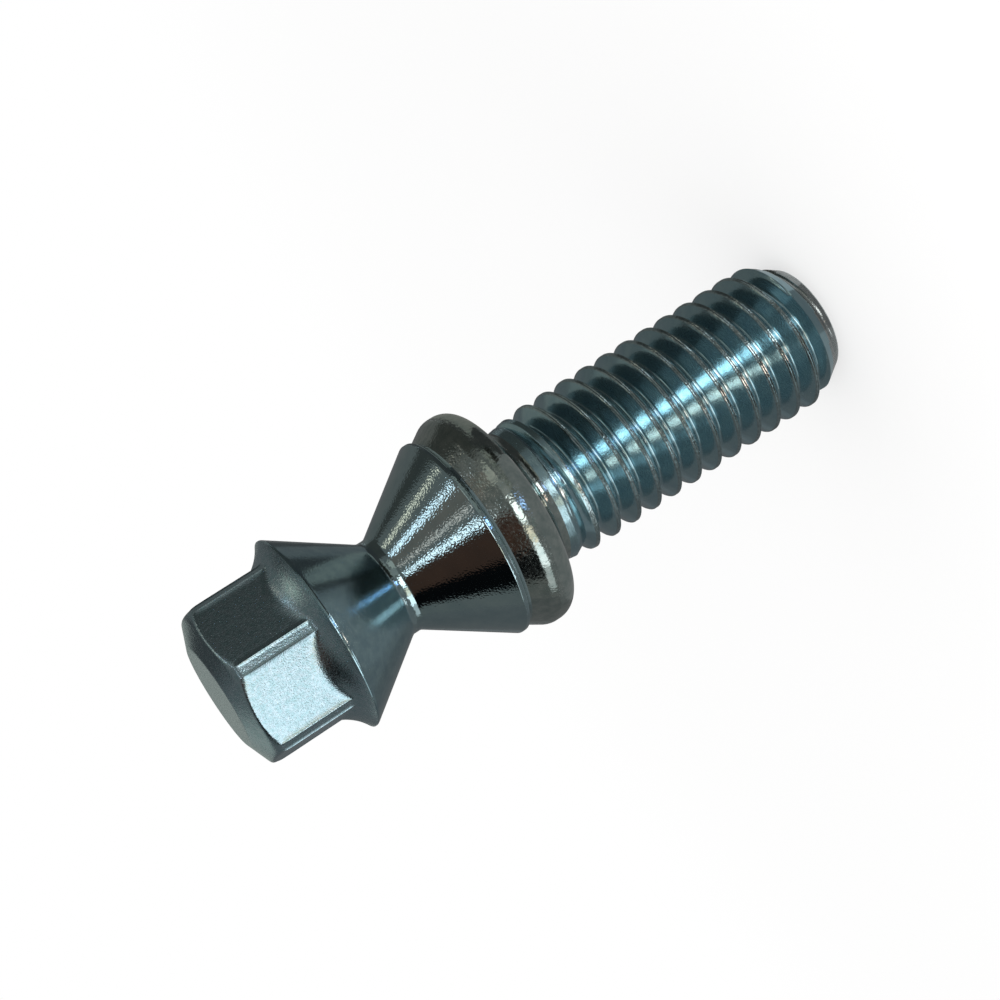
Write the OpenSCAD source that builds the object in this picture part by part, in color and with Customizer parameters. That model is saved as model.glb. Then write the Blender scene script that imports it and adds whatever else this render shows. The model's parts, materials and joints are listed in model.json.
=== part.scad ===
// Shear bolt of a steering lock: a hexagon for the wrench, a thin neck that
// snaps when the bolt is tight, a tapered head that is left in the hole, and
// a rolled thread. It is one turned and forged piece, and it stands on the
// flat end of its thread.

/* [Drive head] */
// Width of the hexagon across its flats
head_af = 7.8; // [7:0.1:8.4]
// Radius of the hexagon's long corners
head_corner_r = 0.7; // [0.3:0.05:1]
// Length from the end of the head to the flange's rim
head_len = 5.4; // [4.8:0.05:8]
// Diameter of the flat on the end of the head
head_face_d = 5.4; // [4:0.1:6]
// Slope of the crowned end, from a plane across the axis
crown_angle = 22; // [12:1:35]
// Radius that carries the crown over the hexagon's corners
crown_r = 1; // [0.8:0.05:1.4]

/* [Break flange] */
// Diameter of the thin flange behind the hexagon
flange_d = 10.3; // [9.8:0.1:11]
// Width of the flange's turned rim
flange_rim_w = 0.1; // [0.06:0.02:0.4]
// Hollow radius that runs from the flats up to the flange's rim
flange_back_r = 3; // [2:0.1:5]

/* [Break neck] */
// Diameter of the neck where the bolt shears
neck_d = 5; // [4:0.1:5.8]
// Length of the neck's straight land
neck_len = 0.4; // [0.2:0.05:1]
// Slope of both cones, from the bolt's axis
cone_angle = 34.5; // [30:0.5:42]

/* [Collar] */
// Diameter where the second cone ends
rim_d = 10.6; // [10:0.1:11]
// Radius that breaks the second cone's edge
rim_r = 0.2; // [0.05:0.05:0.3]
// Depth of the step behind that edge
step_depth = 0.18; // [0.06:0.02:0.3]
// Largest diameter of the collar
collar_d = 11.5; // [11.3:0.1:12.4]
// Slope of the collar's flared side, from the bolt's axis
flare_angle = 32; // [24:1:40]
// Radius round the collar's edge
collar_r = 1; // [0.7:0.05:1.2]
// Width of the straight land on the collar's edge
collar_land = 0.2; // [0:0.05:0.6]
// Slope of the collar's seat, from the bolt's axis
seat_angle = 71; // [50:1:75]
// Radius between the seat and the shank
seat_r = 0.55; // [0.4:0.05:1]

/* [Thread] */
// Diameter over the crests of the thread
thread_d = 7.8; // [7.76:0.02:7.96]
// Distance from one crest to the next
pitch = 1.25; // [1:0.05:1.25]
// Distance from the second cone's edge to the end of the thread
reach = 21.2; // [16:0.1:32]
// Width of the flat on a crest
crest_w = 0.16; // [0.14:0.02:0.3]
// Width of the flat at a root
root_w = 0.14; // [0.12:0.02:0.24]
// Diameter of the plain shank beside the collar
shank_d = 7.2; // [7.1:0.05:7.5]
// Length over which the first turn grows to its full depth
run_in = 1.8; // [1.2:0.1:3]
// Length of the taper on the end of the thread
tip_len = 1.6; // [1:0.1:2]
// Diameter of the flat on the end of the thread
tip_d = 5.8; // [5.4:0.1:6.4]
// Turn of the thread's groove about the axis, in degrees
thread_turn = 243; // [0:1:359]
// Turn of the hexagon about the axis, in degrees
head_turn = 24; // [0:1:59]

/* [Hidden] */
// Facets of a full circle
$fn = 96;
// Steps of a rounded edge
round_steps = 6;
// Steps of the groove in one turn
turn_steps = 48;
// Angle of the thread's flank from a plane across the axis
flank_angle = 30;
// How far the groove's cutter stands out of the crest
cutter_out = 0.06;
// Least depth of the groove's cutter, where the groove runs out
cutter_min = 0.005;
// Length of the plain shank between the seat and the thread
shank_len = 0.1;
// Slopes of the flange's hollow at the flats and at the rim, from the axis
hollow_slope_in = 20;
hollow_slope_out = 60;
// Where the crown's radius crosses the hexagon's corners, and where it ends past them
crown_cross = 25;
crown_past = 15;

thread_r = thread_d / 2;
groove_half_w = (pitch - crest_w) / 2;
thread_depth = (groove_half_w - root_w / 2) / tan(flank_angle);
corner_d = (head_af - 2 * head_corner_r) / cos(30) + 2 * head_corner_r;

// Places along the axis, counted from the end of the head
flange_end = head_len + flange_rim_w;
neck_start = flange_end + (flange_d - neck_d) / 2 / tan(cone_angle);
neck_end = neck_start + neck_len;
rim_at = neck_end + ((rim_d - neck_d) / 2 - rim_r * (1 - cos(cone_angle))) / tan(cone_angle)
         + rim_r * sin(cone_angle);
step_at = rim_at + 2 * rim_r;
thread_end = rim_at + reach;

// Points of an arc about c, from angle a0 to angle a1, as [radius, place along the axis]
function arc(c, r, a0, a1) =
    [for (i = [0:round_steps])
        let (a = a0 + (a1 - a0) * i / round_steps)
        c + r * [cos(a), sin(a)]];

// Centre of the hollow behind the flange
hollow_c = [flange_d / 2 + flange_back_r * cos(hollow_slope_out),
            head_len - flange_back_r * sin(hollow_slope_out)];

// Centres of the collar's rounded edge, on its flared side and on its seat's side
step_r = rim_d / 2 - step_depth;
flare_r = collar_d / 2 - collar_r * (1 - cos(flare_angle));
flare_c = [collar_d / 2 - collar_r,
           step_at + (flare_r - step_r) / tan(flare_angle) + collar_r * sin(flare_angle)];
edge_c = flare_c + [0, collar_land];

// Where the seat leaves the rounded edge, and the centre of its radius at the shank
seat_start = edge_c + collar_r * [cos(seat_angle), sin(seat_angle)];
seat_drop = seat_start[0] - shank_d / 2 - seat_r * (1 - cos(seat_angle));
seat_c = [shank_d / 2 + seat_r,
          seat_start[1] + seat_drop / tan(seat_angle) + seat_r * sin(seat_angle)];
shank_at = seat_c[1];
thread_at = shank_at + shank_len;

// Outline of the hexagon with rounded corners
function hexagon_outline() =
    let (corner_at = (head_af / 2 - head_corner_r) / cos(30))
    [for (k = [0:5])
        each arc(corner_at * [cos(60 * k), sin(60 * k)], head_corner_r, 60 * k - 30, 60 * k + 30)];

// Half section of the head's crowned end
function crown_outline() =
    let (c_r = corner_d / 2 - crown_r * cos(crown_cross),
         drop = c_r + crown_r * sin(crown_angle) - head_face_d / 2,
         c_z = drop * tan(crown_angle) + crown_r * cos(crown_angle),
         end = arc([c_r, c_z], crown_r, crown_angle - 90, crown_past - crown_cross))
    concat([[0, 0], [head_face_d / 2, 0]], end, [[end[round_steps][0], head_len], [0, head_len]]);

// Half section of everything that is turned, from the flange to the end of the thread
function turned_outline() =
    let (hollow = arc(hollow_c, flange_back_r, 180 - hollow_slope_in, 180 - hollow_slope_out))
    concat([[0, hollow[0][1]]],
           hollow,
           [[flange_d / 2, flange_end], [neck_d / 2, neck_start], [neck_d / 2, neck_end]],
           arc([rim_d / 2 - rim_r, rim_at], rim_r, -cone_angle, 90),
           [[step_r, step_at]],
           arc(flare_c, collar_r, -flare_angle, 0),
           arc(edge_c, collar_r, 0, seat_angle),
           arc(seat_c, seat_r, 180 + seat_angle, 180),
           [[shank_d / 2, thread_at], [thread_r, thread_at + run_in]],
           [[thread_r, thread_end - tip_len], [tip_d / 2, thread_end], [0, thread_end]]);

// Radius of the groove's root at a place along the axis
function root_r(z) =
    let (shallow = max(0, 1 - (z - shank_at) / run_in))
    thread_r - thread_depth + (thread_depth + cutter_out) * shallow;

// Four corners of the cutter's section at step i
function groove_section(i) =
    let (z = shank_at + pitch * i / turn_steps,
         turn = 360 * (z - rim_at) / pitch,
         out_r = thread_r + cutter_out,
         in_r = min(root_r(z), out_r - cutter_min),
         out_w = groove_half_w + cutter_out * tan(flank_angle),
         in_w = root_w / 2 + (in_r - thread_r + thread_depth) * tan(flank_angle))
    [for (p = [[out_r, -out_w], [in_r, -in_w], [in_r, in_w], [out_r, out_w]])
        [p[0] * cos(turn), p[0] * sin(turn), z + p[1]]];

// Solid that cuts the right-handed groove between the crests
module groove() {
    steps = ceil((thread_end - shank_at + pitch) / pitch * turn_steps);
    last = 4 * steps;
    points = [for (i = [0:steps]) each groove_section(i)];
    sides = [for (i = [0:steps - 1], k = [0:3])
        let (a = 4 * i + k, b = 4 * i + (k + 1) % 4)
        each [[a, b + 4, b], [a, a + 4, b + 4]]];
    polyhedron(points, concat([[0, 1, 2, 3]], sides, [[last + 3, last + 2, last + 1, last]]));
}

module hexagon_head() {
    intersection() {
        rotate([0, 0, head_turn]) linear_extrude(head_len) polygon(hexagon_outline());
        rotate_extrude() polygon(crown_outline());
    }
}

module turned_body() {
    difference() {
        rotate_extrude() polygon(turned_outline());
        rotate([0, 0, thread_turn]) groove();
    }
}

module shear_bolt() {
    color("slategray")
    translate([0, 0, thread_end])
    rotate([180, 0, 0]) {
        hexagon_head();
        turned_body();
    }
}

shear_bolt();
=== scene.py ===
"""Dresses the shear bolt of a steering lock: fine shape, plating, ground and light."""

from __future__ import annotations

import json
import logging
import math
from dataclasses import dataclass
from enum import Enum
from functools import cached_property
from typing import Callable

import bmesh
import bpy
from mathutils import Euler, Matrix, Vector


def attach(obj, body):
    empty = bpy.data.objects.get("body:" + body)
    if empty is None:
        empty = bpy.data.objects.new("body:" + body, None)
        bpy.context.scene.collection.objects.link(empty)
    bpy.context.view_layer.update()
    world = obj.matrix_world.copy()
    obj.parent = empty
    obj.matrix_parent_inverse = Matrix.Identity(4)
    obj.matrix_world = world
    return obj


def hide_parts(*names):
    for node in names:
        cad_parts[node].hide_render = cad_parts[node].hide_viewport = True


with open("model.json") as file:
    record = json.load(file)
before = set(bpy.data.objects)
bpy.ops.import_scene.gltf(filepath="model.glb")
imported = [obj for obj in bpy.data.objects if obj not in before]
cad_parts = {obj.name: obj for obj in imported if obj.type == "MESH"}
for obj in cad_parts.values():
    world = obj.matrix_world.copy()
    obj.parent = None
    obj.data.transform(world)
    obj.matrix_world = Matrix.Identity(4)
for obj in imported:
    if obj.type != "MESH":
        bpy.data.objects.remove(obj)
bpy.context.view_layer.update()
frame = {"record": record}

LOG = logging.getLogger("shear_bolt")
NODE = "shear_bolt"
PIECE = "shear_bolt_steel"
BODY = "root"
MM = 0.001
WHITE = (1.0, 1.0, 1.0, 1.0)
PAPER = "#dcdcdc"

# Half the angle that one side of the hexagon takes up about the axis, in degrees
HALF_SIDE = 30.0
# Points of the bolt, and of its thread, that are nearer than this become one, in millimetres
WELD = 0.002
THREAD_WELD = 0.001
# Steps in which each stretch of the half section is drawn, so that no facet shows
RAMP_STEPS = 16
CROWN_STEPS = 14
FLAT_STEPS = 8
HOLLOW_STEPS = 30
CONE_STEPS = 40
RIM_STEPS = (5, 6)
COLLAR_STEPS = (12, 18)
SEAT_STEPS = 10
# Radii of the rings that close the head's flat end and the thread's, as shares of each
FACE_SHARES = (0.35, 0.7, 0.92)
TIP_SHARES = (1.0, 0.9, 0.6, 0.3)
# Rows from a root to the next crest, as shares of the pitch: close at the root and the crest
RISE_SHARES = (0, 0.03, 0.06, 0.1, 0.17, 0.26, 0.34, 0.4, 0.425, 0.445, 0.465, 0.485)
# Turns wound beyond each end of the thread, which the tree presses flat there
SPARE_TURNS = 2
# Sides of a card that is bent round the bolt take up about this angle, in degrees
CARD_STEP = 4.0
# Width of the camera's sensor, in millimetres, and the nearest that it sees, in metres
SENSOR = 36.0
CLIP_START = 0.005

Point = tuple[float, float]
Span = tuple[float, float]
Row = tuple[float, float, Callable[[float], float]]


class Zone(Enum):
    """Stretches of the bolt that were made in different ways, with the index of their finish."""

    FORGED = 0
    TURNED = 1
    COLLAR = 2
    ROLLED = 3
    CROPPED = 4
    WAIST = 5
    CREST = 6


class Lay(Enum):
    """The way that tool marks run, as the scale of their noise along the bolt's X, Y and Z."""

    AROUND = (0.06, 0.06, 1.0)
    ALONG = (1.0, 1.0, 0.06)
    NONE = (1.0, 1.0, 1.0)


def to_linear(code: str) -> tuple[float, float, float, float]:
    """Turns an sRGB colour, as "#rrggbb", into the linear one that a shader takes."""
    parts = [int(code[i : i + 2], 16) / 255 for i in (1, 3, 5)]
    return (*(p / 12.92 if p <= 0.04045 else ((p + 0.055) / 1.055) ** 2.4 for p in parts), 1.0)


def add_node(
    tree: bpy.types.NodeTree, kind: str, inputs: dict[str | int, object], **settings: object
) -> bpy.types.Node:
    """Adds a node to a tree with its settings, values and links.

    Args:
        tree: The tree that the node goes into.
        kind: The node's type name.
        inputs: Values or output sockets, by the input's name or number.
        settings: Properties of the node.

    Returns:
        The new node.
    """
    node = tree.nodes.new(kind)
    for name, value in settings.items():
        setattr(node, name, value)
    for key, value in inputs.items():
        socket = node.inputs[key]
        if isinstance(value, bpy.types.NodeSocket):
            tree.links.new(value, socket)
        else:
            socket.default_value = value
    return node


def clear_tree(owner: bpy.types.Material | bpy.types.World) -> bpy.types.NodeTree:
    """Gives a material or a world an empty node tree.

    Args:
        owner: The material or the world.

    Returns:
        Its tree.
    """
    owner.use_nodes = True
    owner.node_tree.nodes.clear()
    return owner.node_tree


def add_object(name: str, data: bpy.types.ID) -> bpy.types.Object:
    """Puts an object into the scene, at the origin.

    Args:
        name: Its name.
        data: Its mesh, lamp or camera.

    Returns:
        The object.
    """
    added = bpy.data.objects.new(name, data)
    bpy.context.scene.collection.objects.link(added)
    return added


def polar(out: float, turn: float, up: float) -> tuple[float, float, float]:
    """The point so far out from an upright axis, in a direction in degrees, and so high up."""
    angle = math.radians(turn)
    return (out * math.cos(angle), out * math.sin(angle), up)


def between(start: float, end: float, steps: int) -> list[float]:
    """The places that part a length evenly into so many steps, without its two ends."""
    return [start + (end - start) * i / steps for i in range(1, steps)]


def arc(centre: Point, radius: float, start: float, end: float, steps: int) -> list[Point]:
    """Points of an arc in the half section, from one angle to another in degrees."""
    angles = [math.radians(start + (end - start) * i / steps) for i in range(steps + 1)]
    return [(centre[0] + radius * math.cos(a), centre[1] + radius * math.sin(a)) for a in angles]


def soft_min(a: float, b: float, blend: float) -> float:
    """The smaller of two lengths, rounded where they differ by less than a third one."""
    share = min(max(0.5 + 0.5 * (b - a) / blend, 0.0), 1.0)
    return b + (a - b) * share - blend * share * (1 - share)


@dataclass(frozen=True)
class Placing:
    """Where the bolt stands: its own axis is turned into the row's frame.

    Attributes:
        origin: The middle of the head's end, in metres.
        axis: The direction from the head to the tip.
    """

    origin: Vector
    axis: Vector

    @classmethod
    def from_record(cls, record: dict) -> Placing:
        """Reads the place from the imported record's mounts at the head's end and on the thread."""
        mounts = {mount["name"]: mount for mount in record["mounts"]}
        return cls(Vector(mounts["drive"]["pos_m"]), Vector(mounts["thread"]["axis"]).normalized())

    def matrix(self) -> Matrix:
        """Works out how the bolt is put in its place.

        Returns:
            The matrix that takes the bolt's own millimetres to the row's metres.
        """
        across = Vector((0, -1, 0))
        turn = Matrix((across.cross(self.axis), across, self.axis)).transposed().to_4x4()
        return Matrix.Translation(self.origin) @ turn @ Matrix.Scale(MM, 4)

    def local_rotation(self) -> Euler:
        """The turn that brings the row's axes back onto the bolt's own."""
        return self.matrix().to_3x3().normalized().transposed().to_euler()

    def local_shift(self) -> Vector:
        """What is added after that turn so that the head's end is at zero."""
        return -(self.matrix().to_3x3().normalized().transposed() @ self.origin)


@dataclass(frozen=True)
class DriveHead:
    """The hexagon for the wrench, with its crowned end. All lengths are in millimetres.

    Attributes:
        across_flats: Width across the flats.
        corner_r: Radius of the long corners' outer reach, as the solid has it.
        band_at: Distance from the axis of the nearly flat band on each long corner.
        band_blend: Rounding of that band's two edges.
        fin_height: Height of the fine fin that forging leaves along each of them.
        fin_half_angle: Half the angle, seen from the axis, that a fin takes up, in degrees.
        face_d: Diameter of the flat end.
        crown_angle: Slope of the crown from a plane across the axis, in degrees.
        crown_r: Radius over the corners' ends.
        crown_cross: Where on that radius the corners are crossed, in degrees.
        edge_blend: Rounding of the edge between crown and flats.
        hollow_blend: Rounding of the edge between flats and flange.
        turn: Turn of one corner about the axis, in degrees.
    """

    across_flats: float = 7.8
    corner_r: float = 0.7
    band_at: float = 4.335
    band_blend: float = 0.012
    fin_height: float = 0.03
    fin_half_angle: float = 0.55
    face_d: float = 5.4
    crown_angle: float = 22.0
    crown_r: float = 1.0
    crown_cross: float = 25.0
    edge_blend: float = 0.16
    hollow_blend: float = 0.18
    turn: float = 24.0

    def corner_reach(self) -> float:
        """Distance of a long corner from the axis."""
        flat = self.across_flats / 2 - self.corner_r
        return flat / math.cos(math.radians(HALF_SIDE)) + self.corner_r

    def band_half_angle(self) -> float:
        """Half the angle, seen from the axis, that a corner's band takes up, in degrees."""
        share, half = self.across_flats / 2 / self.band_at, math.radians(HALF_SIDE)
        return math.degrees(math.atan((share - math.cos(half)) / math.sin(half)))

    def from_corner(self, angle: float) -> float:
        """Angle in degrees from the nearest long corner to a direction about the axis."""
        return (angle - self.turn + HALF_SIDE) % (2 * HALF_SIDE) - HALF_SIDE

    def corner_knots(self) -> tuple[float, ...]:
        """Angles from a corner's middle at which columns stand, so that both fins are drawn."""
        half, fin = self.band_half_angle(), self.fin_half_angle
        return (0.0, (half - fin) / 2, half - fin, half, half + fin)

    def hexagon_r(self, angle: float) -> float:
        """Distance of the hexagon's outline from the axis.

        Args:
            angle: The direction about the axis, in degrees.

        Returns:
            The distance in millimetres.
        """
        off = abs(math.radians(self.from_corner(angle)))
        flat = self.across_flats / 2 / math.cos(math.radians(HALF_SIDE) - off)
        outline = soft_min(flat, self.band_at / math.cos(off), self.band_blend)
        from_fin = abs(math.degrees(off) - self.band_half_angle()) / self.fin_half_angle
        return outline + self.fin_height * max(0.0, 1 - from_fin)

    def crowned_r(self, angle: float, crown: float) -> float:
        """The outline's distance from the axis where the crown, which is so wide, cuts it."""
        return soft_min(self.hexagon_r(angle), crown, self.edge_blend)

    def hollowed_r(self, angle: float, hollow: float) -> float:
        """The outline's distance from the axis where the hollow, which is so wide, leaves it."""
        return max(hollow, -soft_min(-self.hexagon_r(angle), -hollow, self.hollow_blend))

    def crown_outline(self) -> list[Point]:
        """Half section of the crowned end, from its flat face to past the corners.

        Returns:
            The points, in order along the axis.
        """
        centre_r = self.corner_reach() - self.crown_r * math.cos(math.radians(self.crown_cross))
        slope = math.radians(self.crown_angle)
        face = self.face_d / 2
        drop = centre_r + self.crown_r * math.sin(slope) - face
        centre = (centre_r, drop * math.tan(slope) + self.crown_r * math.cos(slope))
        rise = arc(centre, self.crown_r, self.crown_angle - 90, 0, CROWN_STEPS)
        radii = between(face, rise[0][0], RAMP_STEPS)
        return [(face, 0.0), *zip(radii, between(0.0, rise[0][1], RAMP_STEPS)), *rise]


@dataclass(frozen=True)
class TurnedBody:
    """Flange, neck, tapered head and collar: all that is round. All lengths are in millimetres.

    Attributes:
        head_len: Length of the drive head in front of it, up to the flange's rim.
        flange_d: Diameter of the flange behind the hexagon.
        flange_rim_w: Width of the flange's rim.
        hollow_r: Hollow radius from the flats to the flange's rim.
        hollow_slopes: Slopes of the hollow at the flats and at the rim, from the axis.
        neck_d: Diameter of the neck.
        neck_len: Length of the neck's land.
        neck_blend: Radius at both ends of that land.
        cone_angle: Slope of both cones from the axis, in degrees.
        rim_d: Diameter where the second cone ends.
        rim_r: Radius of that edge in the solid, which places the step behind it.
        rim_edge_r: Radius of that edge as it is drawn, sharper than the solid's.
        step_depth: Depth of the step behind it.
        collar_d: Largest diameter of the collar.
        flare_angle: Slope of the collar's flared side from the axis.
        collar_r: Radius round the collar's edge.
        collar_land: Width of the straight land on that edge.
        seat_angle: Slope of the seat from the axis.
        seat_r: Radius between the seat and the shank.
        shank_d: Diameter of the shank beside the collar.
        shank_len: Length of the plain shank.
        edge_r: Radius that breaks the sharp turned edges.
    """

    head_len: float = 5.4
    flange_d: float = 10.3
    flange_rim_w: float = 0.1
    hollow_r: float = 3.0
    hollow_slopes: Span = (20.0, 60.0)
    neck_d: float = 5.0
    neck_len: float = 0.4
    neck_blend: float = 0.12
    cone_angle: float = 34.5
    rim_d: float = 10.6
    rim_r: float = 0.2
    rim_edge_r: float = 0.09
    step_depth: float = 0.18
    collar_d: float = 11.5
    flare_angle: float = 32.0
    collar_r: float = 1.0
    collar_land: float = 0.2
    seat_angle: float = 71.0
    seat_r: float = 0.55
    shank_d: float = 7.2
    shank_len: float = 0.1
    edge_r: float = 0.04

    def hollow_outline(self) -> list[Point]:
        """Half section of the hollow behind the flange, up to the rim's near edge.

        Returns:
            The points, from the flats outwards.
        """
        low, high = self.hollow_slopes
        centre = (
            self.flange_d / 2 + self.hollow_r * math.cos(math.radians(high)),
            self.head_len - self.hollow_r * math.sin(math.radians(high)),
        )
        return arc(centre, self.hollow_r, 180 - low, 180 - high, HOLLOW_STEPS)

    @cached_property
    def places(self) -> dict[str, float]:
        """Places along the axis, counted from the end of the head.

        Returns:
            The places by name.
        """
        slope = math.radians(self.cone_angle)
        flange_end = self.head_len + self.flange_rim_w
        neck_start = flange_end + (self.flange_d - self.neck_d) / 2 / math.tan(slope)
        neck_end = neck_start + self.neck_len
        run = (self.rim_d - self.neck_d) / 2 - self.rim_r * (1 - math.cos(slope))
        rim = neck_end + run / math.tan(slope) + self.rim_r * math.sin(slope)
        flare = math.radians(self.flare_angle)
        flare_r = self.collar_d / 2 - self.collar_r * (1 - math.cos(flare))
        step = rim + 2 * self.rim_r
        collar = step + (flare_r - self.rim_d / 2 + self.step_depth) / math.tan(flare)
        collar += self.collar_r * math.sin(flare)
        edge = collar + self.collar_land
        seat = math.radians(self.seat_angle)
        seat_start_r = self.collar_d / 2 - self.collar_r * (1 - math.cos(seat))
        fall = seat_start_r - self.shank_d / 2 - self.seat_r * (1 - math.cos(seat))
        shank = edge + (self.collar_r + self.seat_r) * math.sin(seat) + fall / math.tan(seat)
        return {
            "flange_end": flange_end,
            "neck_start": neck_start,
            "neck_end": neck_end,
            "rim": rim,
            "step": step,
            "collar": collar,
            "edge": edge,
            "shank": shank,
            "thread": shank + self.shank_len,
        }

    def outline(self) -> list[Point]:
        """Half section from the flange's rim to the start of the thread.

        Returns:
            The points, in order along the axis.
        """
        at = self.places
        slope, edge_r, flange_r = self.cone_angle, self.edge_r, self.flange_d / 2
        flange = [(flange_r, self.head_len + edge_r), (flange_r, at["flange_end"] - edge_r / 2)]
        first_from = at["flange_end"] + edge_r
        first = self.cone(first_from, flange_r, at["flange_end"], -slope, at["neck_start"])
        second = self.cone(at["neck_end"], self.neck_d / 2, at["neck_end"], slope, at["rim"])
        rim = self.rim_outline(at["rim"])
        kept = [point for point in second if point[0] < rim[0][0] - edge_r]
        step_r = self.rim_d / 2 - self.step_depth
        step = [(step_r + edge_r / 2, at["step"] - edge_r * 2), (step_r, at["step"])]
        centre_r, seat = self.collar_d / 2 - self.collar_r, self.seat_angle
        flare_steps, edge_steps = COLLAR_STEPS
        flare = arc((centre_r, at["collar"]), self.collar_r, -self.flare_angle, 0, flare_steps)
        over = arc((centre_r, at["edge"]), self.collar_r, 0, seat, edge_steps)
        seat_centre = (self.shank_d / 2 + self.seat_r, at["shank"])
        inner = arc(seat_centre, self.seat_r, 180 + seat, 180, SEAT_STEPS)
        shank = [(self.shank_d / 2, at["thread"])]
        return flange + first + kept + rim + step + flare + over + inner + shank

    def rim_outline(self, rim_at: float) -> list[Point]:
        """Half section of the second cone's edge: two small radii with a land between them.

        Args:
            rim_at: Where the solid's rounding has its middle.

        Returns:
            The points, from the cone to the step.
        """
        slope = math.radians(self.cone_angle)
        inner = self.rim_r - self.rim_edge_r
        near = rim_at - inner * (1 - math.cos(slope)) / math.sin(slope)
        middle = self.rim_d / 2 - self.rim_edge_r
        steps, more = RIM_STEPS
        first = arc((middle, near), self.rim_edge_r, -self.cone_angle, 0, steps)
        return first + arc((middle, rim_at + inner), self.rim_edge_r, 0, 90, more)

    def cone(
        self, start: float, radius: float, base: float, slope: float, end: float
    ) -> list[Point]:
        """Points along a straight cone, with its end at the neck rounded into the land.

        Args:
            start: Where the first point lies along the axis.
            radius: Radius at the base.
            base: Where the base lies along the axis.
            slope: Slope from the axis in degrees, negative where the cone narrows.
            end: Where the cone ends.

        Returns:
            The points, in order along the axis.
        """
        places = [start, *between(start, end, CONE_STEPS), end]
        neck = self.neck_d / 2
        rise = math.tan(math.radians(slope))
        radii = [radius + (place - base) * rise for place in places]
        return [(-soft_min(-r, -neck, self.neck_blend), z) for r, z in zip(radii, places)]


# Kinds of input of the thread's node tree, by the kind of value that goes in
SOCKETS = {int: "Int", float: "Float", bpy.types.Material: "Material"}
# The sums of that tree, in order: a name for the result, the operation and what goes in
THREAD_SUMS = (
    ("steps", "MULTIPLY_ADD", "Columns", "Turns", 1.0),
    ("step", "DIVIDE", "index", "rows"),
    ("step", "FLOOR", "step"),
    ("passed", "MULTIPLY", "step", "rows"),
    ("row", "SUBTRACT", "index", "passed"),
    # Each step rises a little, and beyond both ends of the thread it is held there
    ("turned", "DIVIDE", "step", "Columns"),
    ("risen", "MULTIPLY_ADD", "turned", "Pitch", "First Root"),
    ("along", "ADD", "risen", "profile z"),
    ("along", "MAXIMUM", "along", "Thread Start"),
    ("along", "MINIMUM", "along", "Thread End"),
    # The groove comes in from over the crest and reaches its full depth after the run-in
    ("grown", "SUBTRACT", "along", "Groove Start"),
    ("grown", "DIVIDE", "grown", "Run In"),
    ("shallow", "SUBTRACT", 1.0, "grown"),
    ("shallow", "MAXIMUM", "shallow", 0.0),
    ("full", "SUBTRACT", "Crest Radius", "Root Radius"),
    ("full", "ADD", "full", "Lift"),
    ("floor", "MULTIPLY_ADD", "shallow", "full", "Root Radius"),
    ("radius", "MAXIMUM", "profile x", "floor"),
    # The crest grows out of the shank over the same length
    ("grown", "SUBTRACT", "along", "Thread Start"),
    ("grown", "DIVIDE", "grown", "Run In"),
    ("swell", "SUBTRACT", "Crest Radius", "Shank Radius"),
    ("limit", "MULTIPLY_ADD", "grown", "swell", "Shank Radius"),
    ("radius", "MINIMUM", "radius", "limit"),
    # The taper at the end cuts all of it
    ("left", "SUBTRACT", "Thread End", "along"),
    ("left", "DIVIDE", "left", "Tip Length"),
    ("taper", "SUBTRACT", "Crest Radius", "Tip Radius"),
    ("limit", "MULTIPLY_ADD", "left", "taper", "Tip Radius"),
    ("radius", "MINIMUM", "radius", "limit"),
    ("angle", "MULTIPLY", "turned", math.tau),
    ("cosine", "COSINE", "angle"),
    ("sine", "SINE", "angle"),
    ("x", "MULTIPLY", "radius", "cosine"),
    ("y", "MULTIPLY", "radius", "sine"),
)


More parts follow.
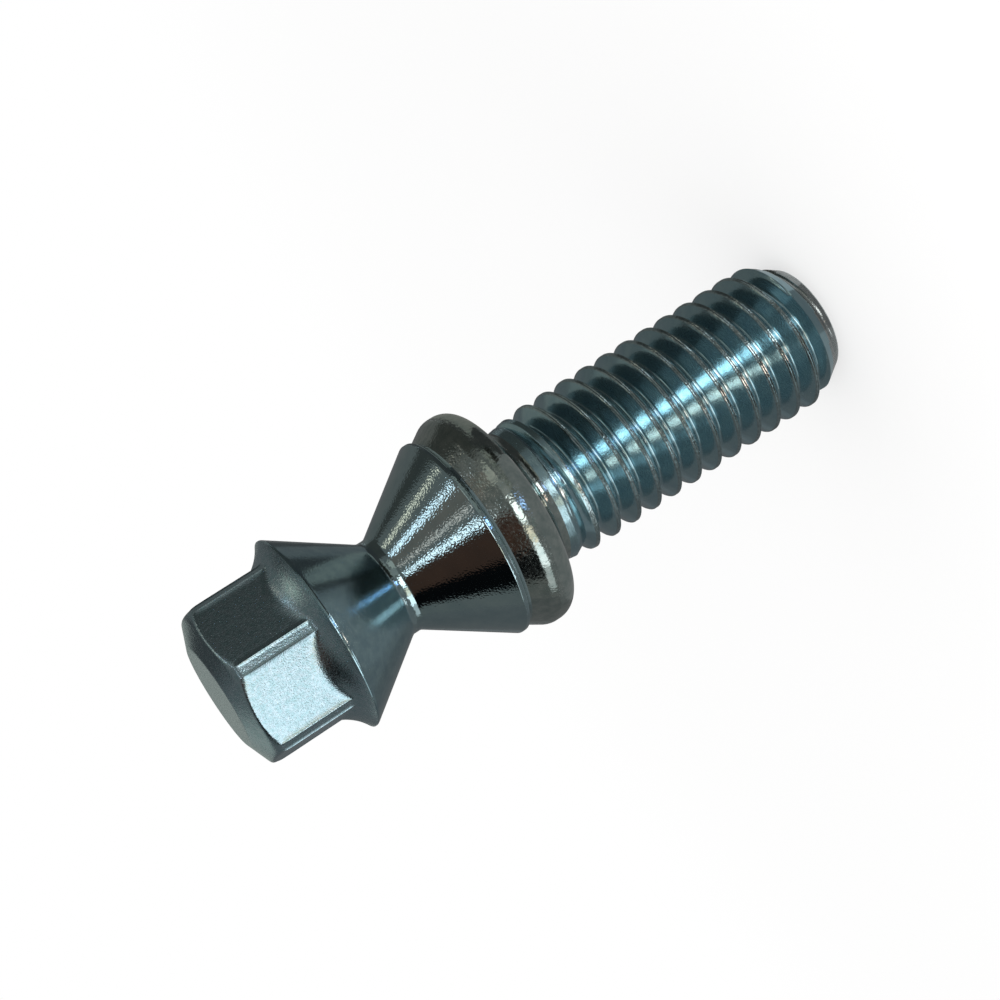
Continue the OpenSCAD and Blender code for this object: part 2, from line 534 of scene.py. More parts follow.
@dataclass(frozen=True)
class RolledThread:
    """The right-handed thread, wound by Geometry Nodes. All lengths are in millimetres.

    Attributes:
        crest_d: Diameter over the crests.
        pitch: Distance from one crest to the next.
        crest_w: Width of the flat on a crest.
        root_w: Width of the flat at a root.
        flank_angle: Slope of a flank from a plane across the axis, in degrees.
        round_over: Rounding of the crest's edges and of the root.
        seam_depth: Depth of the seam that rolling leaves along the crest.
        seam_w: Width of that seam.
        run_in: Length over which the first turn grows to its full depth.
        run_out_lift: How far the groove's root has risen over the crest where it starts.
        tip_len: Length of the taper at the end.
        tip_d: Diameter of the flat end.
        reach: Distance from the second cone's edge to the end of the thread.
        turn: Turn of the groove about the axis, in degrees.
    """

    crest_d: float = 7.8
    pitch: float = 1.25
    crest_w: float = 0.16
    root_w: float = 0.14
    flank_angle: float = 30.0
    round_over: float = 0.05
    seam_depth: float = 0.045
    seam_w: float = 0.03
    run_in: float = 1.8
    run_out_lift: float = 0.06
    tip_len: float = 1.6
    tip_d: float = 5.8
    reach: float = 21.2
    turn: float = 243.0

    def depth(self) -> float:
        """Depth of the groove from crest to root."""
        half = (self.pitch - self.crest_w) / 2
        return (half - self.root_w / 2) / math.tan(math.radians(self.flank_angle))

    def one_pitch(self) -> list[Point]:
        """Section of the thread from one root to the next.

        Returns:
            Radius and place along the axis of its points.
        """
        crest = self.crest_d / 2
        root = crest - self.depth()
        points = []
        for share in (*RISE_SHARES, 0.5, *(1 - rise for rise in reversed(RISE_SHARES))):
            off = min(share, 1 - share) * self.pitch
            flank = root + (off - self.root_w / 2) / math.tan(math.radians(self.flank_angle))
            radius = soft_min(-soft_min(-flank, -root, self.round_over), crest, self.round_over)
            seam = self.seam_depth * math.exp(-(((off - self.pitch / 2) / self.seam_w) ** 2))
            points.append((min(radius, crest) - seam, share * self.pitch))
        return points

    def tree(self, values: dict[str, object]) -> bpy.types.NodeTree:
        """Builds the node tree that winds one pitch of the profile into the whole thread.

        Args:
            values: What goes into the tree, by the name of the input, apart from the profile.

        Returns:
            The tree.
        """
        tree = bpy.data.node_groups.new("wind_thread", "GeometryNodeTree")
        kinds = {"Profile": "Geometry"} | {name: SOCKETS[type(v)] for name, v in values.items()}
        for name, kind in kinds.items():
            tree.interface.new_socket(name, in_out="INPUT", socket_type=f"NodeSocket{kind}")
        tree.interface.new_socket("Thread", in_out="OUTPUT", socket_type="NodeSocketGeometry")
        known = dict(add_node(tree, "NodeGroupInput", {}).outputs.items())
        profile = known["Profile"]
        size = add_node(tree, "GeometryNodeAttributeDomainSize", {0: profile})
        known["rows"] = size.outputs["Point Count"]
        known["index"] = add_node(tree, "GeometryNodeInputIndex", {}).outputs[0]
        position = add_node(tree, "GeometryNodeInputPosition", {}).outputs[0]
        picked = add_node(
            tree,
            "GeometryNodeSampleIndex",
            {"Geometry": profile, "Value": position},
            data_type="FLOAT_VECTOR",
            domain="POINT",
        )
        section = add_node(tree, "ShaderNodeSeparateXYZ", {0: picked.outputs[0]})
        known["profile x"], known["profile z"] = section.outputs["X"], section.outputs["Z"]
        for name, operation, *terms in THREAD_SUMS:
            inputs = {i: known.get(term, term) for i, term in enumerate(terms)}
            added = add_node(tree, "ShaderNodeMath", inputs, operation=operation)
            known[name] = added.outputs[0]
        tree.links.new(known["row"], picked.inputs["Index"])
        corners = {"Vertices X": known["steps"], "Vertices Y": known["rows"]}
        grid = add_node(tree, "GeometryNodeMeshGrid", corners)
        at = {i: known[name] for i, name in enumerate(("x", "y", "along"))}
        wound = {
            "Geometry": grid.outputs[0],
            "Position": add_node(tree, "ShaderNodeCombineXYZ", at).outputs[0],
        }
        placed = add_node(tree, "GeometryNodeSetPosition", wound)
        near = {0: placed.outputs[0], "Distance": THREAD_WELD}
        welded = add_node(tree, "GeometryNodeMergeByDistance", near)
        real = add_node(tree, "GeometryNodeRealizeInstances", {0: welded.outputs[0]})
        finish = {0: real.outputs[0], "Material": known["Finish"]}
        dressed = add_node(tree, "GeometryNodeSetMaterial", finish)
        add_node(tree, "NodeGroupOutput", {0: dressed.outputs[0]})
        return tree

    def build(self, body: TurnedBody, columns: int, finish: bpy.types.Material) -> bpy.types.Mesh:
        """Winds the thread and returns it as a plain mesh in the bolt's own millimetres.

        Args:
            body: The turned body that the thread joins.
            columns: Steps in one turn.
            finish: The thread's material.

        Returns:
            An open tube from the shank to the flat end.
        """
        at = body.places
        points = self.one_pitch()
        profile = bpy.data.meshes.new("one_pitch")
        edges = [(i, i + 1) for i in range(len(points) - 1)]
        profile.from_pydata([(r, 0, z) for r, z in points], edges, [])
        holder = add_object("wind_thread", profile)
        end = at["rim"] + self.reach
        crest = self.crest_d / 2
        first_root = at["rim"] - self.pitch * self.turn / 360
        before = SPARE_TURNS + math.ceil((first_root - at["thread"]) / self.pitch)
        first_root -= before * self.pitch
        values = {
            "Columns": columns,
            "Turns": math.ceil((end - first_root) / self.pitch) + SPARE_TURNS,
            "Pitch": self.pitch,
            "First Root": first_root,
            "Crest Radius": crest,
            "Root Radius": crest - self.depth(),
            "Shank Radius": body.shank_d / 2,
            "Thread Start": at["thread"],
            "Groove Start": at["shank"],
            "Run In": self.run_in,
            "Lift": self.run_out_lift,
            "Thread End": end,
            "Tip Length": self.tip_len,
            "Tip Radius": self.tip_d / 2,
            "Finish": finish,
        }
        modifier = holder.modifiers.new("wind_thread", "NODES")
        modifier.node_group = self.tree(values)
        for item in modifier.node_group.interface.items_tree:
            if item.in_out == "INPUT" and item.name in values:
                modifier[item.identifier] = values[item.name]
        evaluated = holder.evaluated_get(bpy.context.evaluated_depsgraph_get())
        mesh = bpy.data.meshes.new_from_object(evaluated)
        holder.modifiers.remove(modifier)
        bpy.data.objects.remove(holder)
        return mesh


# Octaves and roughness of each noise, and the part of a noise's range that is made full use of
NOISES = {"cloud": (4.0, 0.6), "grain": (0.6, 0.5), "wave": (1.0, 0.5), "marks": (2.0, 0.5)}
CLOUD_RANGE = (0.35, 0.65)
GRAIN_RANGE = (0.3, 0.7)


@dataclass(frozen=True)
class Relief:
    """A pattern of small heights on a surface, in millimetres.

    Attributes:
        size: Size of its bumps, or distance between its marks.
        height: Height of them.
    """

    size: float
    height: float


@dataclass(frozen=True)
class ZincFinish:
    """Bright zinc plate with a thin blue-green passivation, over steel shaped in one way.

    Attributes:
        name: The material's name.
        pale: Colour where the film is thin, as sRGB hex.
        deep: Colour where the film is thicker, as sRGB hex.
        cloud: Size of the patches between the two, in millimetres.
        roughness: Least and greatest roughness.
        grain: The plating's grain.
        wave: The slow waves left by forming.
        marks: The tool marks.
        lay: The way that those marks run.
    """

    name: str
    pale: str
    deep: str
    cloud: float
    roughness: Span
    grain: Relief
    wave: Relief
    marks: Relief
    lay: Lay

    def build(self, placing: Placing) -> bpy.types.Material:
        """Makes the material.

        Args:
            placing: Where the bolt stands, so that marks follow its own axis.

        Returns:
            The finished material.
        """
        material = bpy.data.materials.new(self.name)
        tree = clear_tree(material)
        own = {
            "Vector": add_node(tree, "ShaderNodeTexCoord", {}).outputs["Object"],
            "Location": placing.local_shift(),
            "Rotation": placing.local_rotation(),
        }
        local = add_node(tree, "ShaderNodeMapping", own).outputs[0]
        drawn_out = {"Vector": local, "Scale": self.lay.value}
        marks_at = add_node(tree, "ShaderNodeMapping", drawn_out).outputs[0]
        noise = {}
        for name, at, size in (
            ("cloud", local, self.cloud),
            ("grain", local, self.grain.size),
            ("wave", local, self.wave.size),
            ("marks", marks_at, self.marks.size),
        ):
            detail, rough = NOISES[name]
            inputs = {"Vector": at, "Scale": 1 / (size * MM), "Detail": detail, "Roughness": rough}
            noise[name] = add_node(tree, "ShaderNodeTexNoise", inputs).outputs["Fac"]
        spread = {}
        for name, source, target in (
            ("cloud", CLOUD_RANGE, (0.0, 1.0)),
            ("grain", GRAIN_RANGE, self.roughness),
        ):
            inputs = {"Value": noise[name], "From Min": source[0], "From Max": source[1]}
            inputs |= {"To Min": target[0], "To Max": target[1]}
            spread[name] = add_node(tree, "ShaderNodeMapRange", inputs).outputs[0]
        film = {"Factor": spread["cloud"], "A": to_linear(self.pale), "B": to_linear(self.deep)}
        colour = add_node(tree, "ShaderNodeMix", film, data_type="RGBA").outputs["Result"]
        normal = {}
        for name, relief in (("wave", self.wave), ("marks", self.marks), ("grain", self.grain)):
            inputs = {"Height": noise[name], "Strength": 1.0, "Distance": relief.height * MM}
            bump = add_node(tree, "ShaderNodeBump", inputs | normal)
            normal = {"Normal": bump.outputs[0]}
        metal = {"Base Color": colour, "Metallic": 1.0, "Roughness": spread["grain"]} | normal
        shader = add_node(tree, "ShaderNodeBsdfPrincipled", metal)
        add_node(tree, "ShaderNodeOutputMaterial", {"Surface": shader.outputs[0]})
        return material


# One pixel of the picture is about 0.05 mm. The grain of zinc plate is a few hundredths of a
# millimetre at most, and tool marks lie as close, too fine to show. So both are drawn at 0.07 mm
# or more, as coarse as they need to be to break up a highlight as they do on the real bolt.
FINISHES = {
    # Cold-forged under the plate, struck by the die: dull and mottled, as the bright flat shows
    Zone.FORGED: ZincFinish(
        name="forged_zinc_plate",
        pale="#b2c8d2", deep="#9cbcc4", cloud=0.22, roughness=(0.2, 0.32),
        grain=Relief(0.07, 0.0095), wave=Relief(1.6, 0.014),
        marks=Relief(0.1, 0.004), lay=Lay.ALONG,
    ),
    # Turned second cone: mirrors its surroundings in streaks that the grain breaks into sparks
    Zone.TURNED: ZincFinish(
        name="turned_zinc_plate",
        pale="#b0c8cc", deep="#a4bec4", cloud=0.9, roughness=(0.06, 0.1),
        grain=Relief(0.09, 0.0068), wave=Relief(1.2, 0.006),
        marks=Relief(0.1, 0.003), lay=Lay.AROUND,
    ),
    # Upset collar: greyer, with slow bumps and a coarser grain that part a highlight into blobs
    Zone.COLLAR: ZincFinish(
        name="upset_zinc_plate",
        pale="#b6c2be", deep="#9eaeab", cloud=0.4, roughness=(0.12, 0.2),
        grain=Relief(0.11, 0.0085), wave=Relief(0.45, 0.014),
        marks=Relief(0.2, 0.004), lay=Lay.NONE,
    ),
    # Rolled thread: burnished flanks with a blue cast, smooth along the helix
    Zone.ROLLED: ZincFinish(
        name="rolled_zinc_plate",
        pale="#abcad1", deep="#9ebfc9", cloud=0.7, roughness=(0.15, 0.22),
        grain=Relief(0.08, 0.003), wave=Relief(0.7, 0.008),
        marks=Relief(0.12, 0.003), lay=Lay.AROUND,
    ),
    # Cropped end: the sheared wire's end, dull and grey
    Zone.CROPPED: ZincFinish(
        name="cropped_zinc_plate",
        pale="#b8c0c0", deep="#a4acac", cloud=0.3, roughness=(0.2, 0.32),
        grain=Relief(0.07, 0.01), wave=Relief(0.8, 0.016),
        marks=Relief(0.15, 0.008), lay=Lay.NONE,
    ),
    # First cone: a little bluer and smoother, so it mirrors the ground as soft, whole streaks
    Zone.WAIST: ZincFinish(
        name="waist_zinc_plate",
        pale="#a7c6cc", deep="#97b6c0", cloud=0.5, roughness=(0.1, 0.16),
        grain=Relief(0.07, 0.003), wave=Relief(0.8, 0.0025),
        marks=Relief(0.08, 0.003), lay=Lay.ALONG,
    ),
    # Crests: worn by the rolling dies, so the film is thin and they look grey and scuffed
    Zone.CREST: ZincFinish(
        name="crest_zinc_plate",
        pale="#b6ccd0", deep="#94a6a8", cloud=0.15, roughness=(0.08, 0.16),
        grain=Relief(0.08, 0.01), wave=Relief(0.5, 0.006),
        marks=Relief(0.08, 0.004), lay=Lay.AROUND,
    ),
}


@dataclass(frozen=True)
class ShearBolt:
    """The whole bolt, which is one piece of plated steel.

    Attributes:
        head: Its drive head.
        body: Its turned stretch.
        thread: Its thread.
        columns: Steps in one turn about the axis.
        smooth_angle: Edges that turn by less than this are shaded smooth, in degrees.
        crest_zone: How far below the crest its worn finish reaches, in millimetres.
        cropped_len: Length of the wire's cropped end that the taper still shows, in millimetres.
    """

    head: DriveHead = DriveHead()
    body: TurnedBody = TurnedBody()
    thread: RolledThread = RolledThread()
    columns: int = 144
    smooth_angle: float = 40.0
    crest_zone: float = 0.09
    cropped_len: float = 0.75

    def column_angle(self, column: int, squeeze: float) -> float:
        """Direction of a column, drawn together at the hexagon's corners.

        Args:
            column: The column's number.
            squeeze: 1 where the columns gather at the corners, 0 where they are even.

        Returns:
            The direction about the axis, in degrees.
        """
        step = 360 / self.columns
        even = column * step
        shift = self.head.turn % step
        off = self.head.from_corner(even + shift)
        knots = self.head.corner_knots()
        index = round(abs(off) / step)
        if index < len(knots):
            drawn = knots[index]
        else:
            past = abs(off) - (len(knots) - 1) * step
            left = HALF_SIDE - (len(knots) - 1) * step
            drawn = knots[-1] + past * (HALF_SIDE - knots[-1]) / left
        return even + (shift + math.copysign(drawn, off) - off) * squeeze

    def rows(self) -> list[Row]:
        """Rows of the surface from the head's end to the thread.

        Returns:
            For each row its place along the axis, how far its columns gather at the
            corners, and a function of the direction that gives the radius there.
        """
        head = self.head
        rows: list[Row] = []
        for share in FACE_SHARES:
            rows.append((0.0, 1.0, lambda _angle, r=head.face_d / 2 * share: r))
        crown = head.crown_outline()
        for r, z in crown:
            rows.append((z, 1.0, lambda angle, r=r: head.crowned_r(angle, r)))
        hollow = self.body.hollow_outline()
        for z in between(crown[-1][1], hollow[0][1], FLAT_STEPS):
            rows.append((z, 1.0, head.hexagon_r))
        for i, (r, z) in enumerate(hollow):
            # The columns go back to even steps over the outer half of the hollow
            squeeze = max(0.0, 1 - 2 * max(0.0, i / HOLLOW_STEPS - 0.5))
            rows.append((z, squeeze, lambda angle, r=r: head.hollowed_r(angle, r)))
        for r, z in self.body.outline():
            rows.append((z, 0.0, lambda _angle, r=r: r))
        return rows

    def zone(self, centre: Vector) -> Zone:
        """Which finish a face takes.

        Args:
            centre: The middle of the face, in the bolt's own millimetres.

        Returns:
            The zone that it lies in.
        """
        at = self.body.places
        if centre.z > at["rim"] + self.thread.reach - self.cropped_len:
            return Zone.CROPPED
        if centre.z > at["thread"]:
            crest = self.thread.crest_d / 2 - self.crest_zone
            return Zone.CREST if math.hypot(centre.x, centre.y) > crest else Zone.ROLLED
        if centre.z > at["step"]:
            return Zone.COLLAR
        if centre.z > at["neck_start"] - self.body.neck_blend:
            return Zone.TURNED
        return Zone.WAIST if centre.z > self.body.head_len else Zone.FORGED

    def skin(self, form: bmesh.types.BMesh, rows: list[Row]) -> list[list[bmesh.types.BMVert]]:
        """Adds rows to the surface, with a band of faces between each and the next.

        Args:
            form: The surface under construction.
            rows: The rows, in order along the surface.

        Returns:
            The vertices of each row.
        """
        rings = []
        for z, squeeze, radius in rows:
            angles = [self.column_angle(column, squeeze) for column in range(self.columns)]
            rings.append([form.verts.new(polar(radius(angle), angle, z)) for angle in angles])
        for low, high in zip(rings, rings[1:]):
            for i in range(self.columns):
                form.faces.new((low[i - 1], low[i], high[i], high[i - 1]))
        return rings

    def cap(self, form: bmesh.types.BMesh, ring: list[bmesh.types.BMVert], z: float) -> None:
        """Closes a ring with a fan about its middle.

        Args:
            form: The surface under construction.
            ring: Vertices of the ring.
            z: Place of the middle along the axis.
        """
        middle = form.verts.new((0, 0, z))
        for i in range(self.columns):
            form.faces.new((ring[i - 1], ring[i], middle))

    def mesh(self, finishes: list[bpy.types.Material]) -> bpy.types.Mesh:
        """Builds the closed surface in the bolt's own millimetres.

        Args:
            finishes: The materials, in the order of the zones.

        Returns:
            The mesh.
        """
        wound = self.thread.build(self.body, self.columns, finishes[Zone.ROLLED.value])
        form = bmesh.new()
        form.from_mesh(wound)
        bpy.data.meshes.remove(wound)
        self.cap(form, self.skin(form, self.rows())[0], 0.0)
        end = self.body.places["rim"] + self.thread.reach
        tip_r = self.thread.tip_d / 2
        tip: list[Row] = [(end, 0.0, lambda _angle, r=tip_r * share: r) for share in TIP_SHARES]
        self.cap(form, self.skin(form, tip)[-1], end)
        bmesh.ops.remove_doubles(form, verts=form.verts, dist=WELD)
        bmesh.ops.recalc_face_normals(form, faces=form.faces)
        for face in form.faces:
            face.smooth = True
            face.material_index = self.zone(face.calc_center_median()).value
        LOG.info("open edges: %d", sum(1 for edge in form.edges if not edge.is_manifold))
        mesh = bpy.data.meshes.new(PIECE)
        form.to_mesh(mesh)
        form.free()
        return mesh

    def build(self, placing: Placing) -> bpy.types.Object:
        """Makes the dressed bolt and ties it to the frame.

        Args:
            placing: Where the bolt stands.

        Returns:
            The finished object.
        """
        finishes = [FINISHES[zone].build(placing) for zone in Zone]
        mesh = self.mesh(finishes)
        for finish in finishes:
            mesh.materials.append(finish)
        mesh.transform(placing.matrix())
        mesh.set_sharp_from_angle(angle=math.radians(self.smooth_angle))
        piece = add_object(PIECE, mesh)
        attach(piece, BODY)
        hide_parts(NODE)
        return piece


@dataclass(frozen=True)
class Fitting:
    """What is set up beside the bolt to show in it. All lengths are in millimetres.

    Attributes:
        name: Its name.
        azimuths: The directions of its two sides from the bolt, in degrees from the row's X axis.
        span: Heights of its edges over the ground, or their distances from the axis if it lies.
        distance: Distance from the bolt's axis, or height over the ground if it lies.
        radiance: How bright its face is, where 1 is a white surface in plain light.
        colour: Its colour, as sRGB hex.
    """

    name: str
    azimuths: Span
    span: Span
    distance: float
    radiance: float
    colour: str = PAPER


class SoftBox(Fitting):
    """A plain upright lamp that faces the bolt's axis."""

    def build(self) -> None:
        """Makes the lamp and turns it to the bolt."""
        half = math.radians(abs(self.azimuths[1] - self.azimuths[0]) / 2)
        away = Vector(polar(1.0, sum(self.azimuths) / 2, 0.0))
        lamp = bpy.data.lights.new(self.name, "AREA")
        lamp.shape = "RECTANGLE"
        lamp.size = 2 * self.distance * math.tan(half) * MM
        lamp.size_y = (self.span[1] - self.span[0]) * MM
        lamp.color = to_linear(self.colour)[:3]
        # A matt lamp gives off pi times its radiance from each unit of its face
        lamp.energy = self.radiance * math.pi * lamp.size * lamp.size_y
        holder = add_object(self.name, lamp)
        holder.location = (away * self.distance + Vector((0, 0, sum(self.span) / 2))) * MM
        holder.rotation_euler = away.to_track_quat("Z", "Y").to_euler()
        holder.visible_camera = False


class Stand(Enum):
    """How a card is set up."""

    UPRIGHT = "bent round the bolt, on edge"
    FLAT = "lying on the ground or over it"


@dataclass(frozen=True)
class Card(Fitting):
    """A card that only shows in the metal, as a photographer sets them up round a bright part.

    Attributes:
        stand: How it is set up.
    """

    stand: Stand = Stand.UPRIGHT

    def build(self) -> None:
        """Makes the card."""
        start, end = self.azimuths
        steps = max(2, round(abs(end - start) / CARD_STEP))
        points = []
        for turn in (start, *between(start, end, steps), end):
            for edge in self.span:
                lies = self.stand is Stand.FLAT
                out, up = (edge, self.distance) if lies else (self.distance, edge)
                points.append(polar(out * MM, turn, up * MM))
        mesh = bpy.data.meshes.new(self.name)
        sides = [(2 * i, 2 * i + 2, 2 * i + 3, 2 * i + 1) for i in range(steps)]
        mesh.from_pydata(points, [], sides)
        material = bpy.data.materials.new(self.name + "_paper")
        tree = clear_tree(material)
        paint = {"Color": to_linear(self.colour), "Strength": self.radiance}
        glow = add_node(tree, "ShaderNodeEmission", paint)
        add_node(tree, "ShaderNodeOutputMaterial", {"Surface": glow.outputs[0]})
        # Mirrored rays find the card by themselves, so it isn't sampled as a lamp
        material.cycles.emission_sampling = "NONE"
        mesh.materials.append(material)
        card = add_object(self.name, mesh)
        card.visible_camera = False
        card.visible_diffuse = False
        card.visible_shadow = False


# Windows and a warm wall, as bright patches that the metal mirrors. The camera is at -90 degrees
LAMPS = (
    SoftBox("left_window", (-154.0, -129.0), (9.0, 58.0), 80.0, 1.75, "#fbfdff"),
    SoftBox("left_window_side", (-184.0, -155.0), (12.0, 48.0), 80.0, 0.6, "#f4f6f6"),
    SoftBox("front_window", (-107.0, -85.0), (14.0, 58.0), 80.0, 2.5, "#fffdfb"),
    SoftBox("warm_wall", (-128.0, -114.0), (15.0, 60.0), 82.0, 1.4, "#ffeacf"),
    SoftBox("high_window", (-89.0, -78.0), (118.0, 146.0), 80.0, 2.2, "#f2f8ff"),
    SoftBox("high_window_side", (-64.0, -56.0), (116.0, 136.0), 82.0, 0.85, "#ffe6da"),
    SoftBox("right_window", (-28.0, -19.0), (95.0, 120.0), 80.0, 2.05, "#eef6ff"),
    SoftBox("right_window_side", (-1.0, 3.5), (77.0, 98.0), 82.0, 1.5, "#ffeacf"),
)
CARDS = (
    # The tent, which hides the white room from the metal
    Card("tent_wall", (0.0, 360.0), (0.3, 205.0), 92.0, 0.22, "#dcdcd8"),
    Card("tent_roof", (0.0, 360.0), (0.0, 92.0), 205.0, 0.22, "#dcdcd8", Stand.FLAT),
    Card("tent_ground", (0.0, 360.0), (2.93, 92.0), 0.02, 0.26, PAPER, Stand.FLAT),
    # Paler ground by the thread's end, and the collar's shade on the first turns
    Card("ground_pale_left", (-185.0, -112.0), (2.94, 9.0), 0.04, 0.42, PAPER, Stand.FLAT),
    Card("ground_pale_right", (-58.0, 0.0), (2.94, 9.0), 0.04, 0.6, PAPER, Stand.FLAT),
    Card("collar_shade", (-180.0, -60.0), (3.95, 10.0), 17.6, 0.32, PAPER, Stand.FLAT),
    Card("collar_shade_right", (-30.0, 40.0), (3.95, 10.0), 17.6, 0.3, "#dcdcd4", Stand.FLAT),
    Card("shank_shade", (-136.0, -102.0), (3.95, 10.0), 16.9, 0.3, PAPER, Stand.FLAT),
    # Dark and pale cards to the right: low ones for the hexagon, high ones for the second cone
    Card("right_flag", (-27.0, 34.0), (0.3, 68.0), 84.0, 0.08, "#dcdcd4"),
    Card("far_right_flag", (34.0, 62.0), (20.0, 90.0), 86.0, 0.2, "#dcdcd8"),
    Card("warm_gap", (-55.0, -29.0), (92.0, 140.0), 85.0, 0.26, "#dccbbf"),
    Card("dark_gap", (34.0, 52.0), (90.0, 126.0), 85.0, 0.05),
    Card("high_right_card", (-10.0, 25.0), (126.0, 200.0), 85.0, 0.85, "#f4f0dc"),
    Card("right_card", (-61.0, -42.0), (20.0, 92.0), 88.0, 0.55, "#f2eee2"),
    Card("corner_card", (-80.0, -62.0), (0.3, 60.0), 84.0, 0.3, "#f8f8f2"),
    # What stands behind the bolt, which shows along its outline
    Card("back_wall", (62.0, 163.0), (0.3, 62.0), 87.0, 0.19),
    Card("back_wall_high", (84.0, 163.0), (62.0, 200.0), 87.0, 0.2),
    Card("back_flag", (54.0, 84.0), (62.0, 200.0), 86.0, 0.08),
    Card("back_window", (76.0, 104.0), (26.0, 65.0), 85.0, 0.5, "#e2e6dc"),
    Card("back_window_high", (98.0, 120.0), (66.0, 125.0), 85.0, 0.52, "#e2e6dc"),
    Card("back_window_low", (108.0, 115.0), (8.0, 24.0), 85.0, 0.2, "#f4f8fa"),
    # High on the left, for the black and brown bands of the second cone
    Card("high_flag_left", (150.0, 184.0), (120.0, 200.0), 84.0, 0.03),
    Card("high_flag_black", (184.0, 219.0), (62.0, 195.0), 84.0, 0.004, "#dce4f4"),
    Card("high_flag_brown", (219.0, 267.0), (85.0, 195.0), 84.0, 0.075, "#f0b098"),
    # Dark and pale stretches of the ground, for the first cone and the thread's lower flanks
    Card("ground_flag", (-28.0, 30.0), (9.0, 84.0), 0.3, 0.07, PAPER, Stand.FLAT),
    Card("ground_flag_mid", (-78.0, -28.0), (23.0, 58.0), 0.3, 0.03, "#dcdcd0", Stand.FLAT),
    Card("ground_far_right", (-78.0, -28.0), (58.0, 84.0), 0.3, 0.34, "#e4e4d8", Stand.FLAT),
    Card("ground_back", (30.0, 150.0), (9.0, 84.0), 0.3, 0.2, PAPER, Stand.FLAT),
    Card("ground_dim_right", (26.0, 70.0), (50.0, 84.0), 0.35, 0.1, PAPER, Stand.FLAT),
    # Narrow bright strips and spots on the ground, for the streaks and glints that face it
    Card("ground_strip_left", (-149.0, -132.0), (23.0, 46.0), 0.3, 1.3, "#fbfdff", Stand.FLAT),
    Card("ground_strip_front", (-97.0, -87.0), (23.0, 46.0), 0.3, 0.6, "#fbfdff", Stand.FLAT),
    Card("ground_strip_blue", (-93.5, -87.5), (46.0, 76.0), 0.3, 4.8, "#a8c8ff", Stand.FLAT),
    Card("ground_strip_pale", (-114.0, -111.0), (46.0, 76.0), 0.3, 0.45, "#f0fff4", Stand.FLAT),
    Card("ground_spot_front", (-95.0, -81.0), (11.0, 23.0), 0.3, 6.0, "#fffdfd", Stand.FLAT),
    Card("ground_spot_warm", (-123.0, -112.0), (11.0, 23.0), 0.3, 6.0, "#ffd6c4", Stand.FLAT),
)


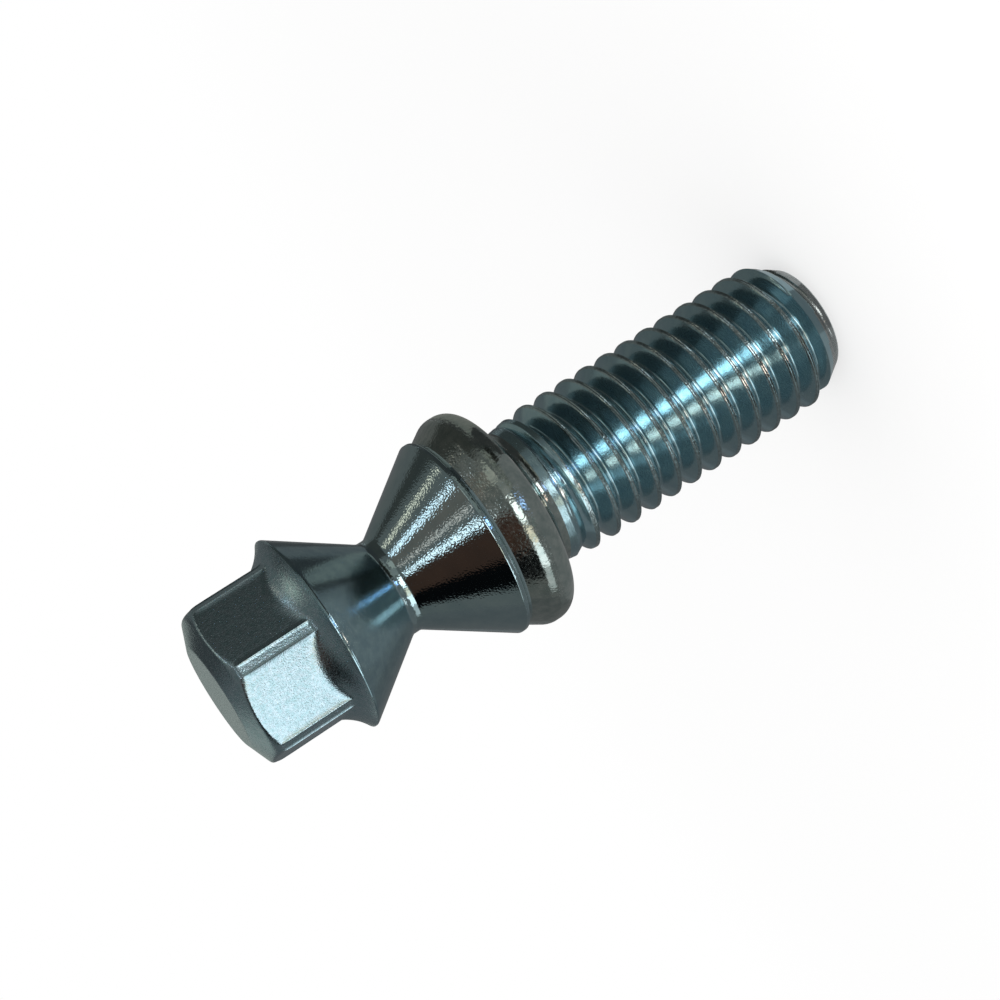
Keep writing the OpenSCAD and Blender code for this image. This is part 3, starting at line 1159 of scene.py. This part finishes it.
@dataclass(frozen=True)
class Studio:
    """The ground, the pale room round it and the camera.

    Attributes:
        ground_size: Side of the ground, in metres.
        ground_colour: Colour of the ground, as sRGB hex.
        ground_glow: Share of the ground's look that is plain white, at the bolt and far off.
        ground_near: Distances from the bolt's axis between which that share grows, in metres.
        room_strength: How bright the room is.
        lens: The camera's focal length, in millimetres.
        aim: The point that the camera looks at, in millimetres in the row's frame.
        azimuth: The camera's direction from there, in degrees from the row's X axis.
        elevation: The camera's height over the ground as an angle, in degrees.
        distance: The camera's distance from there, in millimetres.
        roll: Turn of the camera about its view, in degrees, which lays the bolt aslant.
    """

    ground_size: float = 3.0
    ground_colour: str = "#f4f4f4"
    ground_glow: Span = (0.6, 1.0)
    ground_near: Span = (0.02, 0.1)
    room_strength: float = 1.0
    lens: float = 75.9
    aim: tuple[float, float, float] = (0.605, -0.2, 18.6)
    azimuth: float = -90.05
    elevation: float = 16.13
    distance: float = 101.95
    roll: float = -122.83

    def white_share(
        self, tree: bpy.types.NodeTree, share: float | bpy.types.NodeSocket
    ) -> bpy.types.NodeSocket:
        """Picks the rays that see the plain white background.

        Args:
            tree: The material's or the world's tree.
            share: How much of it they see, as a number or an output socket.

        Returns:
            The share for camera, glossy and transmission rays, and 0 for others.
        """
        path = add_node(tree, "ShaderNodeLightPath", {}).outputs
        result = path["Is Camera Ray"]
        for other, operation in (
            (path["Is Glossy Ray"], "MAXIMUM"),
            (path["Is Transmission Ray"], "MAXIMUM"),
            (share, "MULTIPLY"),
        ):
            rays = add_node(tree, "ShaderNodeMath", {0: result, 1: other}, operation=operation)
            result = rays.outputs[0]
        return result

    def ground(self) -> None:
        """Makes the pale ground, which keeps the bolt's shadow."""
        half = self.ground_size / 2
        mesh = bpy.data.meshes.new("ground")
        corners = [(-half, -half, 0), (half, -half, 0), (half, half, 0), (-half, half, 0)]
        mesh.from_pydata(corners, [], [(0, 1, 2, 3)])
        material = bpy.data.materials.new("pale_ground")
        tree = clear_tree(material)
        place = add_node(tree, "ShaderNodeTexCoord", {}).outputs["Object"]
        away = add_node(tree, "ShaderNodeVectorMath", {0: place}, operation="LENGTH")
        near, far = self.ground_near
        low, high = self.ground_glow
        growth = {"Value": away.outputs["Value"], "From Min": near, "From Max": far}
        growth |= {"To Min": low, "To Max": high}
        whiter = add_node(tree, "ShaderNodeMapRange", growth, interpolation_type="SMOOTHSTEP")
        share = self.white_share(tree, whiter.outputs[0])
        matt = add_node(tree, "ShaderNodeBsdfDiffuse", {"Color": to_linear(self.ground_colour)})
        white = add_node(tree, "ShaderNodeEmission", {"Color": WHITE, "Strength": 1.0})
        looks = {0: share, 1: matt.outputs[0], 2: white.outputs[0]}
        mixed = add_node(tree, "ShaderNodeMixShader", looks)
        add_node(tree, "ShaderNodeOutputMaterial", {"Surface": mixed.outputs[0]})
        mesh.materials.append(material)
        ground = add_object("ground", mesh)

    def room(self) -> None:
        """Makes the world a plain pale room, which the camera and the metal see as white."""
        world = bpy.data.worlds.new("room")
        bpy.context.scene.world = world
        tree = clear_tree(world)
        looks: dict[str | int, object] = {0: self.white_share(tree, 1.0)}
        for i, strength in ((1, self.room_strength), (2, 1.0)):
            light = {"Color": WHITE, "Strength": strength}
            looks[i] = add_node(tree, "ShaderNodeBackground", light).outputs[0]
        mixed = add_node(tree, "ShaderNodeMixShader", looks)
        add_node(tree, "ShaderNodeOutputWorld", {"Surface": mixed.outputs[0]})

    def camera(self) -> None:
        """Places the camera at the photograph's viewing angle."""
        lens = bpy.data.cameras.new("camera")
        lens.sensor_width = SENSOR
        lens.lens = self.lens
        lens.clip_start = CLIP_START
        camera = add_object("camera", lens)
        height = math.radians(self.elevation)
        away = Vector(polar(math.cos(height), self.azimuth, math.sin(height)))
        camera.location = (Vector(self.aim) + away * self.distance) * MM
        upright = (-away).to_track_quat("-Z", "Y").to_matrix()
        turned = upright @ Matrix.Rotation(math.radians(self.roll), 3, "Z")
        camera.rotation_euler = turned.to_euler()
        bpy.context.scene.camera = camera

    def build(self) -> None:
        """Builds the whole studio."""
        self.ground()
        self.room()
        self.camera()
        for fitting in LAMPS + CARDS:
            fitting.build()
        bpy.context.scene.view_settings.view_transform = "Standard"


def main() -> None:
    """Builds the bolt and the studio."""
    logging.basicConfig(level=logging.INFO, format="%(name)s: %(message)s")
    placing = Placing.from_record(frame["record"])
    piece = ShearBolt().build(placing)
    LOG.info("%s: %d faces", piece.name, len(piece.data.polygons))
    Studio().build()
    LOG.info("studio: ground, room, camera, %d lamps and %d cards", len(LAMPS), len(CARDS))


if __name__ == "__main__":
    main()
